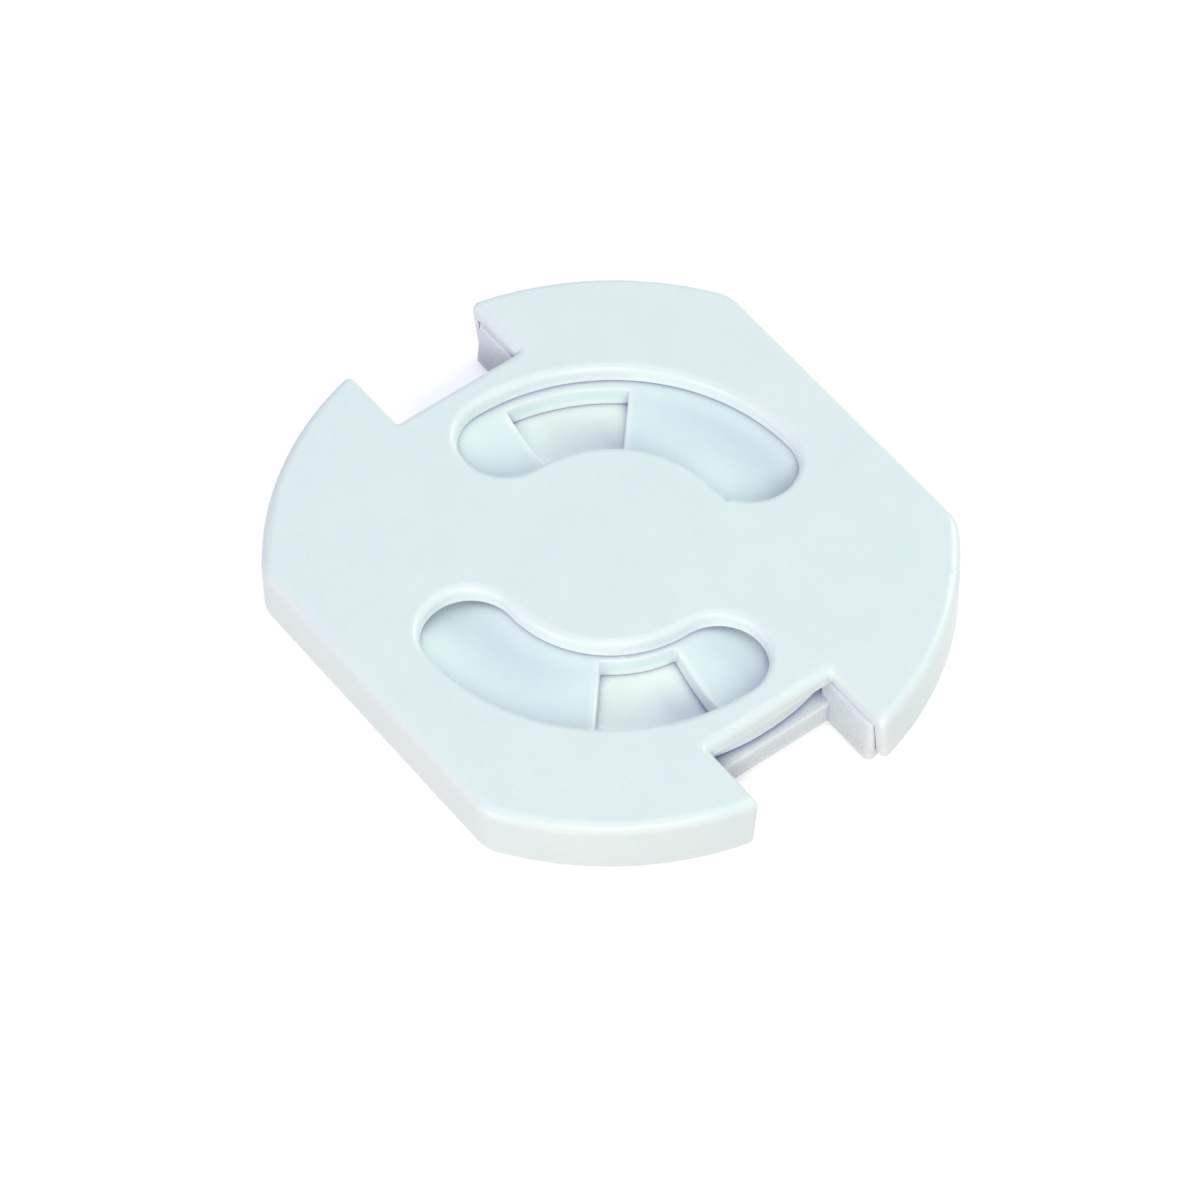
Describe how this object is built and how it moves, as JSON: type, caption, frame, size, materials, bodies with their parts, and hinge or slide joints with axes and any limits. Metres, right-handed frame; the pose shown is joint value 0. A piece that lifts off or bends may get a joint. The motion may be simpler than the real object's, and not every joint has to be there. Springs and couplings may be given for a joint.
{
  "type": "outlet safety cover",
  "caption": "Round glue-in safety cover for a recessed two-pin wall socket: a cap with two kidney windows over a turning sprung shutter and a base with pin holes.",
  "frame": {"origin": "centre of the disc, on the plane of the adhesive pads' undersides", "axes": "+Z out of the front face towards the plug, X along the line of the two pin holes, Y along the line of the two earth-clip notches"},
  "size_m": [0.0326, 0.0374, 0.0044],
  "materials": {
    "cover_plastic": "fine satin moulding, cool white, slightly translucent",
    "shutter_plastic": "satin moulding, cool white",
    "base_plastic": "finely sparked satin moulding, cool white",
    "spring_steel": "bright drawn wire",
    "adhesive_foam": "closed-cell white foam with a tacky face"
  },
  "bodies": {
    "housing": {"front_cover": "cover_plastic", "base_tray": "base_plastic", "return_spring": "spring_steel", "adhesive_pad_top": "adhesive_foam", "adhesive_pad_bottom": "adhesive_foam"},
    "shutter": {"shutter_disc": "shutter_plastic"}
  },
  "joints": [
    {"name": "shutter_turn", "type": "hinge", "parent": "housing", "child": "shutter", "pos_m": [0, 0, 0.003], "axis": [0, 0, 1], "range_deg": [-65, 0], "stiffness_Nm_per_rad": 0.0012, "springref_deg": 28.65, "deforming": ["return_spring"]}
  ]
}
